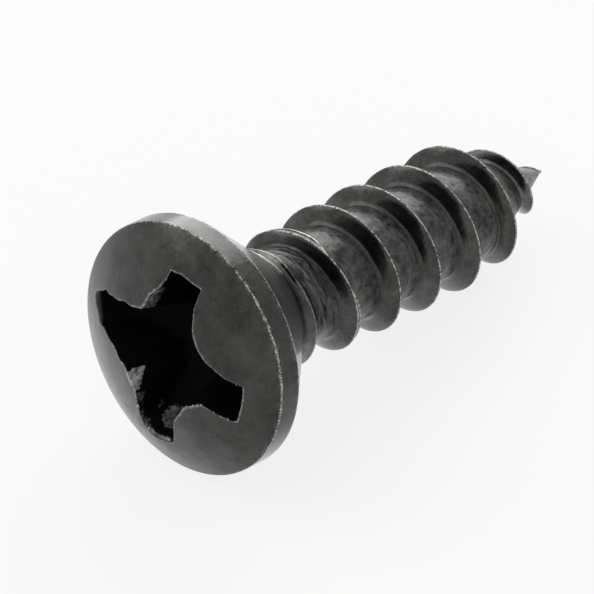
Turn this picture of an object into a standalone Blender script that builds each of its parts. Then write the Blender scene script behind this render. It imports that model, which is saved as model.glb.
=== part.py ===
"""A sheet metal screw with a raised countersunk head and a cross recess, lying on its side.

One cold-headed and thread-rolled piece of steel. All lengths are in metres and +Z is up. The screw
is drawn along its own +X axis, from the front edge of the head's rim at 0 to the point, and is then
tipped onto the two places that it rests on, the rim and one crest of the thread, with the surface
below it at height 0.
"""

import math

import bmesh
import bpy
import numpy as np
from mathutils import Matrix, Vector

# Length, from the front edge of the rim to the point
LENGTH = 0.0126

# Head: a low dome, a short cylindrical rim and the countersunk cone under it
HEAD_DIAMETER = 0.0064
DOME_HEIGHT = 0.00089
RIM_HEIGHT = 0.00058
RIM_EDGE_RADIUS = 0.00006
COUNTERSINK_ANGLE = math.radians(82)
NECK_FILLET_RADIUS = 0.0006

# Cross recess: each wing runs out from the middle, and all of it tapers inwards with depth
RECESS_DIAMETER = 0.00464
RECESS_DEPTH = 0.00235
RECESS_WING_WIDTH = 0.00100
RECESS_CORNER_RADIUS = 0.00130
RECESS_TAPER = math.radians(26.5)
RECESS_FLOOR_ANGLE = math.radians(28)
RECESS_TURN = math.radians(2.5)

# Right-hand thread: a narrow crest on a nearly cylindrical core
THREAD_DIAMETER = 0.0035
CORE_DIAMETER = 0.00258
PITCH = 0.001411
FLANK_ANGLE = math.radians(30)
CREST_WIDTH = 0.00008

# The first crest comes out of the countersunk cone low and grows to the full diameter
RUN_IN_DIAMETER = 0.00316
RUN_IN_OFFSET = 0.00062
RUN_IN_LENGTH = 0.0022
THREAD_TURN = math.radians(159)

# Gimlet point: the core narrows as an ogive and the thread sinks into it
POINT_LENGTH = 0.0030
POINT_FULLNESS = 1.1
POINT_BLUNT_LENGTH = 0.00012

# Mesh density
COLUMNS = 60
DOME_RINGS = 8
EDGE_RINGS = 3
GROOVE_POINTS = 3
CORNER_POINTS = 9
WING_END_POINTS = 5

HEAD_RADIUS = HEAD_DIAMETER / 2
CORE_RADIUS = CORE_DIAMETER / 2
THREAD_RADIUS = THREAD_DIAMETER / 2
SEAT_SLOPE = math.tan(COUNTERSINK_ANGLE / 2)
SEAT_END = RIM_HEIGHT + (HEAD_RADIUS - CORE_RADIUS) / SEAT_SLOPE
DOME_RADIUS = (HEAD_RADIUS**2 + DOME_HEIGHT**2) / (2 * DOME_HEIGHT)
HELIX_START = RIM_HEIGHT + (HEAD_RADIUS - 1.15 * THREAD_RADIUS) / SEAT_SLOPE
HELIX_END = LENGTH - POINT_BLUNT_LENGTH


def clear_scene():
    for obj in list(bpy.data.objects):
        bpy.data.objects.remove(obj, do_unlink=True)


def black_steel():
    """Steel with a satin black oxide finish."""
    material = bpy.data.materials.new("black_oxide_steel")
    material.use_nodes = True
    shader = material.node_tree.nodes["Principled BSDF"]
    shader.inputs["Base Color"].default_value = (0.045, 0.043, 0.041, 1.0)
    shader.inputs["Metallic"].default_value = 0.85
    shader.inputs["Roughness"].default_value = 0.42
    material.diffuse_color = (0.045, 0.043, 0.041, 1.0)
    return material


def point_progress(place):
    """0 at the point and 1 where the shank has its full size."""
    return min(1.0, max(0.0, (LENGTH - place) / POINT_LENGTH))


def core_radius(place):
    """Radius of the screw without its thread: countersunk cone, neck fillet, shank and point."""
    reach = NECK_FILLET_RADIUS * math.tan(COUNTERSINK_ANGLE / 4)
    fillet_start = SEAT_END - reach * math.cos(COUNTERSINK_ANGLE / 2)
    fillet_end = SEAT_END + reach
    if place <= fillet_start:
        return CORE_RADIUS + (SEAT_END - place) * SEAT_SLOPE
    if place < fillet_end:
        across = math.sqrt(NECK_FILLET_RADIUS**2 - (fillet_end - place) ** 2)
        return CORE_RADIUS + NECK_FILLET_RADIUS - across
    return CORE_RADIUS * (1 - (1 - point_progress(place)) ** POINT_FULLNESS)


def crest_radius(place):
    """Radius of the thread's crest where it stands clear of the core."""
    grown = min(1.0, max(0.0, (place - SEAT_END - RUN_IN_OFFSET) / RUN_IN_LENGTH))
    low = RUN_IN_DIAMETER / 2
    radius = low + (THREAD_RADIUS - low) * (1 - (1 - grown) ** 2)
    left = min(1.0, max(0.0, (HELIX_END - place) / (POINT_LENGTH - POINT_BLUNT_LENGTH)))
    height = (radius - CORE_RADIUS) * (1 - (1 - left) ** 2)
    return CORE_RADIUS * (1 - (1 - point_progress(place)) ** POINT_FULLNESS) + height


def turn_section(crest):
    """(place, is on the crest) of the points along one turn's section, from the head to the point."""
    height = max(0.0, crest_radius(crest) - min(core_radius(crest), CORE_RADIUS))
    half_crest = CREST_WIDTH / 2
    half_foot = half_crest + height * math.tan(FLANK_ANGLE)
    section = [(crest - half_foot, False), (crest - half_crest, True)]
    section += [(crest + half_crest, True), (crest + half_foot, False)]
    groove = PITCH - 2 * half_foot
    for step in range(1, GROOVE_POINTS + 1):
        section.append((crest + half_foot + groove * step / (GROOVE_POINTS + 1), False))
    return section


def column_angle(column):
    """Columns lie half a step to each side of straight down, so that the rim rests on a facet."""
    return math.tau * (column + 0.5) / COLUMNS - math.pi / 2


def ring_point(place, radius, column):
    angle = column_angle(column)
    return Vector((place, radius * math.cos(angle), radius * math.sin(angle)))


def head_profile():
    """(place, radius) from the dome to the start of the thread, without the dome's middle."""
    edge = RIM_EDGE_RADIUS
    steepest = math.asin(HEAD_RADIUS / DOME_RADIUS)
    points = []
    for ring in range(1, DOME_RINGS + 1):
        angle = steepest * ring / DOME_RINGS * (1 - edge / HEAD_RADIUS)
        height = DOME_RADIUS * (math.cos(angle) - math.cos(steepest))
        points.append((-height, DOME_RADIUS * math.sin(angle)))
    for ring in range(1, EDGE_RINGS + 1):
        angle = math.radians(90) * ring / EDGE_RINGS
        points.append((edge * (1 - math.cos(angle)), HEAD_RADIUS - edge * (1 - math.sin(angle))))
    for ring in range(EDGE_RINGS + 1):
        angle = COUNTERSINK_ANGLE / 2 * ring / EDGE_RINGS
        back = RIM_HEIGHT - edge * math.tan(COUNTERSINK_ANGLE / 4)
        points.append((back + edge * math.sin(angle), HEAD_RADIUS - edge * (1 - math.cos(angle))))
    points.append((HELIX_START, core_radius(HELIX_START)))
    return points


def add_ring(mesh, place, radius):
    return [mesh.verts.new(ring_point(place, radius, column)) for column in range(COLUMNS)]


def add_face(mesh, corners):
    """A face of the corners that differ, or none where fewer than three do."""
    loop = []
    for corner in corners:
        if corner not in loop:
            loop.append(corner)
    if len(loop) > 2:
        mesh.faces.new(loop)


def add_helix(mesh, first_ring, last_ring):
    """The shank's skin, whose rows of faces follow the thread from the first ring to the last."""
    per_turn = GROOVE_POINTS + 4
    vertices = {}

    def vertex(index, column):
        key = (index, column)
        if key not in vertices:
            turn, point = divmod(index, per_turn)
            turns = turn + (column_angle(column) - THREAD_TURN) / math.tau
            place, on_crest = turn_section(SEAT_END + PITCH * turns)[point]
            radius = core_radius(place)
            if on_crest:
                radius = max(radius, crest_radius(place))
            if place <= HELIX_START:
                vertices[key] = first_ring[column]
            elif place >= HELIX_END:
                vertices[key] = last_ring[column]
            else:
                vertices[key] = mesh.verts.new(ring_point(place, radius, column))
        return vertices[key]

    first_turn = math.floor((HELIX_START - SEAT_END) / PITCH) - 2
    last_turn = math.ceil((HELIX_END - SEAT_END) / PITCH) + 2
    for column in range(COLUMNS):
        after = (column + 1) % COLUMNS
        shift = 0 if after else per_turn
        for index in range(first_turn * per_turn, last_turn * per_turn):
            near = (vertex(index, column), vertex(index + 1, column))
            far = (vertex(index + 1 + shift, after), vertex(index + shift, after))
            add_face(mesh, near + far)


def mesh_data(mesh, name):
    bmesh.ops.recalc_face_normals(mesh, faces=mesh.faces)
    data = bpy.data.meshes.new(name)
    mesh.to_mesh(data)
    mesh.free()
    return data


def screw_mesh():
    mesh = bmesh.new()
    rings = [add_ring(mesh, place, radius) for place, radius in head_profile()]
    last_ring = add_ring(mesh, HELIX_END, core_radius(HELIX_END))
    middle = mesh.verts.new((-DOME_HEIGHT, 0, 0))
    tip = mesh.verts.new((LENGTH, 0, 0))
    for column in range(COLUMNS):
        after = (column + 1) % COLUMNS
        add_face(mesh, (middle, rings[0][column], rings[0][after]))
        for near, far in zip(rings, rings[1:]):
            add_face(mesh, (near[column], far[column], far[after], near[after]))
        add_face(mesh, (last_ring[column], tip, last_ring[after]))
    add_helix(mesh, rings[-1], last_ring)
    return mesh_data(mesh, "screw")


def recess_outline():
    """The cross where the wings' ends meet the dome, as points around the axis."""
    reach = RECESS_DIAMETER / 2
    half = RECESS_WING_WIDTH / 2
    radius = RECESS_CORNER_RADIUS
    centre = half + radius
    points = []
    for wing in range(4):
        turn = Matrix.Rotation(math.radians(90) * wing, 2)
        for step in range(WING_END_POINTS):
            side = half * (2 * step / (WING_END_POINTS - 1) - 1)
            points.append(turn @ Vector((math.sqrt(reach**2 - side**2), side)))
        for step in range(CORNER_POINTS):
            angle = math.radians(90) * step / (CORNER_POINTS - 1)
            corner = Vector((centre - radius * math.sin(angle), centre - radius * math.cos(angle)))
            points.append(turn @ corner)
    return points


def recess_cutter():
    """A cross-shaped peg that narrows with depth and ends in a shallow cone."""
    reach = RECESS_DIAMETER / 2
    mouth = DOME_RADIUS - math.sqrt(DOME_RADIUS**2 - reach**2) - DOME_HEIGHT
    shrink = math.tan(RECESS_TAPER) / reach
    floor_slope = math.tan(RECESS_FLOOR_ANGLE)
    bottom = RECESS_DEPTH - DOME_HEIGHT
    top = -2 * DOME_HEIGHT
    mesh = bmesh.new()
    upper = []
    lower = []
    for point in recess_outline():
        wide = 1 - shrink * (top - mouth)
        upper.append(mesh.verts.new((top, point.x * wide, point.y * wide)))
        slope = floor_slope * point.length
        depth = (bottom - slope * (1 + shrink * mouth)) / (1 - slope * shrink)
        narrow = 1 - shrink * (depth - mouth)
        lower.append(mesh.verts.new((depth, point.x * narrow, point.y * narrow)))
    lid = mesh.verts.new((top, 0, 0))
    pit = mesh.verts.new((bottom, 0, 0))
    for index in range(len(upper)):
        after = (index + 1) % len(upper)
        mesh.faces.new((lid, upper[index], upper[after]))
        mesh.faces.new((upper[index], lower[index], lower[after], upper[after]))
        mesh.faces.new((lower[index], pit, lower[after]))
    cutter = bpy.data.objects.new("recess_cutter", mesh_data(mesh, "recess_cutter"))
    cutter.rotation_euler = (RECESS_TURN, 0, 0)
    cutter.hide_render = True
    cutter.display_type = "WIRE"
    bpy.context.collection.objects.link(cutter)
    return cutter


def resting_tilt(points):
    """The angle that tips the screw onto the rim and the first crest that its point end comes down on."""
    sides = points[:, [0, 2]]
    support = sides[np.argmin(sides[:, 1])]
    middle = LENGTH / 3
    while True:
        ahead = sides[sides[:, 0] > support[0] + PITCH / COLUMNS]
        slopes = (ahead[:, 1] - support[1]) / (ahead[:, 0] - support[0])
        contact = ahead[np.argmin(slopes)]
        if contact[0] > middle:
            return math.atan(slopes.min())
        support = contact


def build_screw():
    data = screw_mesh()
    screw = bpy.data.objects.new("screw", data)
    bpy.context.collection.objects.link(screw)
    data.materials.append(black_steel())
    points = np.array([vertex.co for vertex in data.vertices])
    tilt = resting_tilt(points)
    placed = points @ np.array(Matrix.Rotation(tilt, 3, "Y")).T
    low = placed.min(axis=0)
    high = placed.max(axis=0)
    screw.rotation_euler = (0, tilt, 0)
    screw.location = (-(low[0] + high[0]) / 2, -(low[1] + high[1]) / 2, -low[2])
    cutter = recess_cutter()
    cutter.parent = screw
    cut = screw.modifiers.new("cross_recess", "BOOLEAN")
    cut.operation = "DIFFERENCE"
    cut.solver = "EXACT"
    cut.object = cutter
    data.shade_smooth()
    data.set_sharp_from_angle(angle=math.radians(35))


clear_scene()
build_screw()
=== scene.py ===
"""The looks of the sheet metal screw: one finely modelled screw in worn black oxide, on a pale floor."""

import math

import bmesh
import bpy
import numpy as np
from mathutils import Matrix, Vector, noise


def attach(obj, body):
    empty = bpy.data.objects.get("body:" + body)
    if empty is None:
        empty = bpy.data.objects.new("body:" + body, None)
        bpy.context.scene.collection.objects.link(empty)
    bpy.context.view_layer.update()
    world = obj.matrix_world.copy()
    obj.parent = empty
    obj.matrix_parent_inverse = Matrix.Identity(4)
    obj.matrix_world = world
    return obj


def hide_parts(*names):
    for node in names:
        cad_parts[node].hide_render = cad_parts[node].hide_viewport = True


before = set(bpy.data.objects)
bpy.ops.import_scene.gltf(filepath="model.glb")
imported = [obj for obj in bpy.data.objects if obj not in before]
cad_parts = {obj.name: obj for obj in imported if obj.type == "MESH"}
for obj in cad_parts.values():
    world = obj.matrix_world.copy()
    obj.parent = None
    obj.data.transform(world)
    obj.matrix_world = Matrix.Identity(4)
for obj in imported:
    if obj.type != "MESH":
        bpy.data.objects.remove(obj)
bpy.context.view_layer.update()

MM = 0.001
RIGHT_ANGLE = math.radians(90)

# The screw's own sizes, in millimetres, as in the solid. Places run along the axis from the front
# edge of the rim, and angles run round it from +Y towards +Z.
LENGTH = 12.6
HEAD_RADIUS = 3.2
DOME_HEIGHT = 0.89
RIM_HEIGHT = 0.58
RIM_ROUND = 0.04
COUNTERSINK_ANGLE = math.radians(82)
NECK_FILLET_RADIUS = 0.6
RECESS_RADIUS = 2.32
RECESS_DEPTH = 2.35
RECESS_WING_WIDTH = 1.0
RECESS_CORNER_RADIUS = 1.3
RECESS_TAPER = math.radians(26.5)
RECESS_FLOOR_ANGLE = math.radians(28)
RECESS_TURN = math.radians(2.5)
THREAD_RADIUS = 1.75
CORE_RADIUS = 1.29
PITCH = 1.411
RUN_IN_RADIUS = 1.58
RUN_IN_OFFSET = 0.62
RUN_IN_LENGTH = 2.2
THREAD_TURN = math.radians(159)
POINT_LENGTH = 3.0
POINT_FULLNESS = 1.1
POINT_BLUNT_LENGTH = 0.12

# The side that faces the camera, as an angle round the axis. Names in SIDES hold angles from it, and
# names in PLACES hold places
NEAR_ANGLE = math.radians(132.6)

# Flanks, steeper than the solid's and slightly hollow, which lean more on some sides and on the first turn
FLANK_ANGLE = math.radians(25)
OPEN_FLANK_ANGLE = math.radians(31)
OPEN_FLANK_SIDES = (-0.18, 0.14, 2.2, 3.0)
FIRST_FLANK_ANGLE = math.radians(42)
FIRST_FLANK_PLACES = (2.9, 3.3)
FLANK_CURVE = 1.6
SHORTEST_FLANK = 0.03

# Fillet at the foot of the flanks, on the first too, and how many times its size the mesh gives to it
FLANK_FILLET = 0.028
FIRST_FLANK_FILLET = 0.10
FILLET_REACH = 2.1

# The flat of the crest, its rounding, and the share of that among the crest's own points
CREST_WIDTH = 0.05
CREST_ROUND = 0.025
CREST_ROUND_SHARE = 0.4

# Where the crest leaves an even helix: the first turn starts further back, and the crest wanders at a few
# places, each with its reach and shift
FIRST_TURN_SHIFT = 0.07
FIRST_SHIFT_PLACES = (2.75, 3.0)
CREST_SHIFTS = ((2.51, 0.10, 0.15), (3.82, 0.10, -0.05), (3.99, 0.16, -0.09))

# A blunt corner of the second crest: its place, half width and height
CREST_CORNER = (3.67, 0.06, 0.05)

# Open seams on the second crest: where each starts, is full, is last full and ends, and its share of
# the width
SEAMS = ((3.68, 3.77, 3.84, 3.94, 1.0), (4.12, 4.21, 4.30, 4.42, 0.55))
SEAM_WIDTH = 0.14
SEAM_DEPTH = 0.05
SEAM_BOTTOM_WIDTH = 0.03

# A lap in front of the first crest, and the torn groove behind it, with its scratches' scales along the
# axis and round it
LAP_PLACE = -0.035
LAP_WIDTH = 0.032
LAP_DEPTH = 0.05
LAP_SIDES = (-0.58, -0.48, -0.16, -0.06)
TORN_GROOVE_BEHIND = (0.06, 0.16, 0.8, 1.05)
TORN_GROOVE_SIDES = (-1.5, -1.0, 0.7, 1.2)
TEAR_DEPTH = 0.02
TEAR_STRETCH = (12, 1.6)
TEAR_OCTAVES = 3

# Where the punch left the edge of the recess uneven: angle in degrees, radius, reach along the edge, and
# how far it stands out
EDGE_MARKS = (
    (82, 2.30, 0.25, -0.08),
    (96, 2.30, 0.25, -0.06),
    (115, 1.60, 0.20, 0.03),
    (160, 1.55, 0.25, 0.04),
    (198, 2.24, 0.12, 0.07),
    (205, 1.40, 0.30, -0.17),
    (223, 1.20, 0.20, -0.11),
    (254, 1.90, 0.40, 0.08),
    (276, 2.35, 0.35, 0.19),
    (295, 1.75, 0.30, 0.09),
    (310, 1.35, 0.20, 0.15),
    (332, 1.45, 0.25, 0.18),
    (344, 1.80, 0.20, 0.08),
    (353, 2.15, 0.15, -0.13),
    (4, 2.35, 0.30, 0.36),
    (14, 2.15, 0.15, -0.12),
    (27, 1.55, 0.25, 0.12),
    (50, 1.25, 0.12, -0.06),
    (64, 1.55, 0.25, 0.18),
    (79, 2.00, 0.15, -0.05),
)
EDGE_WIDENING = 0.02

# How ragged the edge is, with the shift and scale of its noises. It is smoother outside a few stretches,
# whose middle and half width are in degrees
EDGE_RAGGED = 0.014
EDGE_NOISES = ((0, 9), (5, 24))
SMOOTH_EDGE_SHARE = 0.35
RAGGED_STRETCHES = ((201, 12), (300, 40), (68, 14))
RAGGED_FADE = 0.2

# The rounding of that edge, and where it is rolled in: middle and half width in degrees, extra rounding
RECESS_EDGE_ROUND = 0.028
SOFT_EDGES = ((0, 9, 0.11), (272, 9, 0.08))

# Torn metal on the walls of the recess: how light it is, how softly it fades, and the patch's corners as
# angle in degrees and place
TEARS = (
    (1.0, 0.02, ((318, -0.84), (316.5, -0.14), (310.5, -0.26), (303.7, -0.34), (297, -0.58), (299, -0.84))),
    (0.22, 0.03, ((300, -0.80), (297, -0.52), (294, -0.37), (291, -0.38), (292, -0.70))),
    (0.22, 0.04, ((289.5, -0.66), (288.5, -0.42), (284, -0.20), (280, -0.28), (284, -0.60))),
    (0.4, 0.05, ((282, -0.56), (280, -0.28), (262, -0.31), (261, -0.56))),
    (0.22, 0.04, ((270, -0.12), (276, -0.08), (281, 0.04), (282, 0.26), (280, 0.4), (274, 0.42), (258, 0.2))),
    (0.12, 0.03, ((287, 0.05), (287, 0.20), (285.4, 0.24), (285, 0.09))),
    (0.8, 0.20, ((46, -0.95), (78, -0.90), (76, -0.40), (60, -0.26), (48, -0.40))),
)

# Millimetres round the wall of the recess for each degree
TEAR_ANGLE_SCALE = 0.024

# The depth in a tear and the softness of points outside all tears
OUTSIDE_TEAR = -0.3
PLAIN_FADE = 0.02

# Crumbs of torn metal on the edge of the recess: angle in degrees, radius, length along the edge,
# height, and how far the length turns inwards, in degrees
BURRS = (
    (343, 1.93, 0.070, 0.022, 68),
    (340, 1.82, 0.040, 0.020, 60),
    (297, 1.76, 0.040, 0.018, 50),
    (289, 1.94, 0.050, 0.034, 75),
    (278, 2.22, 0.045, 0.026, 20),
    (209, 1.27, 0.024, 0.030, 60),
    (204, 1.38, 0.022, 0.042, 70),
    (201, 1.47, 0.030, 0.034, 50),
    (199, 1.76, 0.055, 0.022, 85),
    (199, 2.03, 0.040, 0.018, 80),
    (199, 2.17, 0.045, 0.020, 75),
    (168, 2.20, 0.050, 0.014, 90),
)

# How uneven a crumb is, by a noise of this scale, and the step in that noise between two crumbs
BURR_ROUGHNESS = 1.1
BURR_NOISE_SCALE = 1.5
BURR_NOISE_STEP = 7.3

# Wear of the crest, less on the first turn, and how far it reaches, and wear of the tip
FIRST_CREST_WEAR = 0.45
CREST_WEAR_PLACES = (2.9, 3.4)
WEAR_START_PLACES = (2.60, 2.76)
WEAR_REACH = 0.5
TIP_WEAR = 0.4

# Wear of the dome just outside the edge of the recess
DOME_EDGE_WEAR = 0.55

# Wear of the rim's two edges: everywhere, and what some sides, each with a half width, add to it
RIM_WEAR = 0.6
FRONT_WEAR_SIDES = ((-1.1, 0.3, -0.1), (-0.55, 0.25, -0.15), (0.05, 0.3, 0.45), (0.65, 0.4, 0.3))
BACK_WEAR_SIDES = ((-1.3, 0.4, 0.4), (0.0, 0.4, -0.15), (0.6, 0.35, 0.2))

# Where the first turn carries a painted highlight: on which sides, with half widths and shares, and in
# front of the crest
HIGHLIGHT_SIDES = ((-0.80, 0.32, 1.0), (1.35, 0.45, 0.6))
HIGHLIGHT_BAND = (-0.12, 0.17)

# A painted glint on the cone near the rim: its place and side, each with a half width, and how much
CONE_GLINT = (0.95, 0.25, -0.62, 0.13, 0.65)

# Painted shade on the dome beside the recess: its side and its radius, each with a half width
DOME_SHADE = (2.6, 0.55, 2.45, 0.35)

# The darkened foot of the thread, crud and painted shade in the corner: how far above the core it starts,
# is full, is last full and ends, and where it fades towards the point
FOOT_DARK_RISES = (0.003, 0.015, 0.06, 0.10)
FOOT_DARK_END_PLACES = (9.5, 10.3)

# The share of the grooves' tone that the cone and the first groove have, and where it grows to the full
SEAT_TONE = 0.25
GROOVE_TONE_PLACES = (3.0, 4.2)

# Where the tip grows lighter
TIP_PLACES = (10.6, 11.7)

# Marks of the thread start behind this place
MARKED_SHANK_START = 2.2

# A distance beyond every mark, and the recess mark from which a point is inside
FAR = 9.0
INSIDE_RECESS = 0.3

# The mark across is the distance from the crest, under ON_THREAD on the thread and in its grooves.
# Elsewhere, also where the thread is lowest, OFF_THREAD is added or stands for it
OFF_THREAD = 1.0
ON_THREAD = 0.9
LOWEST_THREAD = 0.05

# How far the streaks in the grooves lean along the axis
FLOW_SLANT = 0.7

# How strong each finer octave of a noise is, and how many times finer
OCTAVE_STRENGTH = 0.8
OCTAVE_STEP = 2.0

# How the solid rests: on its rim and on one crest, so that its axis dips towards the point
REST_TILT = math.radians(9.8376)

# Camera, from the photograph's view of the rim and of the thread, in millimetres
CAMERA_AZIMUTH = math.radians(-45.69)
CAMERA_ELEVATION = math.radians(41.85)
CAMERA_DISTANCE = 185.2
CAMERA_AIM = (-3.275, -1.343, 4.154)
CAMERA_LENS = 476.5
CAMERA_SENSOR = 36
CAMERA_CLIP_START = 0.001

# Mesh density: rings, points round the cross, and points of one turn of the thread
FLOOR_RINGS = 8
WALL_RINGS = 14
MOUTH_RINGS = 5
DOME_RINGS = 34
RIM_EDGE_RINGS = 6
RIM_RINGS = 6
SEAT_RINGS = 20
TIP_RINGS = 4
WING_END_POINTS = 16
WING_SIDE_POINTS = 11
CORNER_POINTS = 28
GROOVE_POINTS = 9
FILLET_POINTS = 3
FLANK_POINTS = 4
CREST_POINTS = 7

# The smallest angle between columns, how the wall's rings crowd to the mouth, and the rounds that bring
# the recess's edge onto the dome
SMALLEST_GAP = math.radians(0.2)
WALL_CROWDING = 1.5
EDGE_ROUNDS = 12

# The helix starts where the cone is this many times as wide as the thread, and has spare turns at the ends
HELIX_START_SHARE = 1.15
SPARE_TURNS = 2

# Worked out from the sizes above
SEAT_SLOPE = math.tan(COUNTERSINK_ANGLE / 2)
SEAT_END = RIM_HEIGHT + (HEAD_RADIUS - CORE_RADIUS) / SEAT_SLOPE
DOME_RADIUS = (HEAD_RADIUS**2 + DOME_HEIGHT**2) / (2 * DOME_HEIGHT)
DOME_STEEPEST = math.asin(HEAD_RADIUS / DOME_RADIUS)
FRONT_ROUND_REACH = RIM_ROUND * math.tan((RIGHT_ANGLE - DOME_STEEPEST) / 2)
DOME_END = HEAD_RADIUS - FRONT_ROUND_REACH
RECESS_BOTTOM = RECESS_DEPTH - DOME_HEIGHT
HELIX_START = RIM_HEIGHT + (HEAD_RADIUS - HELIX_START_SHARE * THREAD_RADIUS) / SEAT_SLOPE
HELIX_END = LENGTH - POINT_BLUNT_LENGTH

# Noises over the surface, from large to small: scale for each metre, and detail
NOISES = {
    "clouds": (1300.0, 4.0),
    "patches": (5000.0, 3.0),
    "blots": (9500.0, 3.0),
    "grain": (17000.0, 3.0),
    "specks": (26000.0, 1.0),
}

# Noises drawn out along the thread: the vector mark, its stretch, scale, detail and distortion
DRAWN_NOISES = {
    "streaks": ("flow", (1.7, 1.7, 1.3), 2.4, 5.0, 0.0),
    "scratches": ("scratch", (11.0, 2.6, 0.0), 1.0, 4.0, 1.2),
}

# Marks of the mesh that serve as masks as they are
MASK_MARKS = ("recess", "groove", "torn", "tip", "shaded_dome", "foot", "painted_highlight")

# Facets of torn metal for each metre
FACET_SCALE = 14000.0

# Blends of those patterns, with the share of each
BLENDS = {
    "mottled": {"clouds": 0.45, "patches": 0.3, "blots": 0.25},
    "blotched": {"clouds": 0.3, "patches": 0.3, "blots": 0.15, "streaks": 0.25},
    "shade_patches": {"patches": 0.6, "blots": 0.4},
    "crystalline": {"facets": 0.15, "patches": 0.5, "blots": 0.35},
    "ragged": {"blots": 0.16, "facets": 0.03},
    "scuffed": {"blots": 0.6, "grain": 0.4},
    "dotted": {"patches": 0.25, "grain": 0.35, "specks": 0.4},
    "broken": {"specks": 0.5, "blots": 0.5},
    "thinned": {"grain": 0.5, "specks": 0.5},
    "grained": {"grain": 0.35, "clouds": 2.0, "patches": 0.9, "blots": 0.45},
    "dented": {"streaks": 0.6, "patches": 1.1, "blots": 0.5},
}

# Tones of the plain finish on the head, the flanks and the grooves: pattern, range and both colours
TONES = (
    ("mottled", (0.31, 0.69), (0.016, 0.0155, 0.0146, 1), (0.046, 0.0445, 0.042, 1)),
    ("mottled", (0.38, 0.62), (0.020, 0.0194, 0.0184, 1), (0.056, 0.0545, 0.0515, 1)),
    ("blotched", (0.42, 0.58), (0.015, 0.0146, 0.0138, 1), (0.090, 0.088, 0.084, 1)),
)

# Layers over the plain finish, from below: where each lies, its pattern, where along that it starts and
# is full with its share at both, its colour, and whether it has no oil
LAYERS = (
    ("tip", "blotched", (0.42, 0.58, 0.35, 1.0), (0.15, 0.147, 0.14, 1), False),
    ("groove", "blots", (0.36, 0.31, 0.0, 0.6), (0.010, 0.010, 0.010, 1), True),
    # painted shade: a dark patch on the dome beside the recess
    ("shaded_dome", "shade_patches", (0.40, 0.58, 0.15, 0.85), (0.010, 0.0098, 0.0094, 1), True),
    # crud and painted shade in the corner at the foot of the thread
    ("foot", "patches", (0.35, 0.6, 0.5, 0.9), (0.010, 0.0098, 0.0094, 1), True),
    ("all", "specks", (0.71, 0.75, 0.0, 0.4), (0.16, 0.155, 0.15, 1), False),
    ("all", "specks", (0.32, 0.28, 0.0, 0.5), (0.010, 0.010, 0.010, 1), True),
    ("chipped", "blots", (0.46, 0.60, 0.0, 0.45), (0.13, 0.127, 0.122, 1), False),
    ("chipped", "specks", (0.44, 0.38, 0.0, 0.25), (0.010, 0.010, 0.010, 1), True),
    # painted highlight: lighter along the first turn, and a glint on the cone
    ("painted_highlight", "patches", (0.30, 0.65, 0.4, 1.0), (0.27, 0.264, 0.254, 1), False),
    ("torn", "all", (0.0, 1.0, 0.0, 0.3), (0.004, 0.004, 0.004, 1), False),
    ("torn", "scratches", (0.49, 0.38, 0.0, 0.9), (0.006, 0.006, 0.006, 1), True),
    ("torn", "scratches", (0.54, 0.66, 0.0, 0.7), (0.12, 0.117, 0.112, 1), False),
    # painted shade: the core of the lap's slit is painted black
    ("painted_shade_slit", "all", (0.0, 1.0, 0.0, 1.0), (0.002, 0.002, 0.002, 1), True),
    # painted shade: the walls of the recess are painted nearly black
    ("recess", "all", (0.0, 1.0, 0.0, 1.0), (0.0052, 0.0055, 0.0052, 1), False),
)

# Where chips start and are full beside the rim's edges, and the share of the lap's width that is all black as
# painted shade
CHIPPED_REACH = (0.12, 0.02)
SLIT_CORE_SHARE = 0.35

# Torn metal in the recess: its range from dark to bright, both colours in its least and most light
# patches, and the line of light inside its edge
TORN_RANGE = (0.36, 0.58)
TORN_DARK_COLOURS = ((0.008, 0.008, 0.008, 1), (0.10, 0.098, 0.095, 1))
TORN_BRIGHT_COLOURS = ((0.04, 0.039, 0.038, 1), (0.55, 0.54, 0.53, 1))
LIT_EDGE_DEPTH = 0.014
LIT_EDGE_WIDTHS = (0.014, 0.004)
LIT_EDGE_SHARE = 0.3

# Bright worn lines: bare steel, how softly a line ends, the middle of the crest's line across the crest,
# and the widest half width and range of each
STEEL_COLOUR = (0.52, 0.505, 0.485, 1)
LINE_ENDS = (-0.004, 0.014)
CREST_LINE_MIDDLE = -0.012
CREST_LINE_WIDTH = 0.021
CREST_LINE_RANGE = (0.32, 0.58)
RIM_LINE_WIDTH = 0.046
RIM_LINE_RANGE = (0.34, 0.58)
RIM_GAPS_RANGE = (0.42, 0.56, 0.25, 1.0)
RECESS_LINE_RANGE = (0.34, 0.54)
CRUMB_RANGE = (0.35, 0.6, 0.4, 0.9)
THINNED_RANGE = (0.38, 0.6, 0.35, 0.85)

# Roughness: its range, and what is added in the grooves, on the thread, on bare metal and in the recess
ROUGHNESS_RANGE = (0.3, 0.7, 0.23, 0.37)
GROOVE_ROUGHNESS = 0.34
THREAD_ROUGHNESS = -0.09
BARE_ROUGHNESS = 0.25
RECESS_ROUGHNESS = 0.4

# The film of oil: its weight, where it thins, and its roughness
OIL_FILM = 0.5
OIL_RANGE = (0.35, 0.65, 0.6, 1.0)
OIL_ROUGHNESS = 0.1

# What the finish reflects at a flat angle: all of it, and little in the recess, whose walls carry painted
# shade
FULL_TINT = (1, 1, 1, 1)
RECESS_SHADE_TINT = (0.02, 0.02, 0.02, 1)

# Relief finer than the mesh, as strength and depth in metres, and how high the scratches stand in it
GRAIN_RELIEF = (0.42, 0.00001)
DRAWN_RELIEF = (0.5, 0.00002)
TORN_RELIEF = (0.8, 0.00003)
SCRATCH_HEIGHT = 1.6

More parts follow.
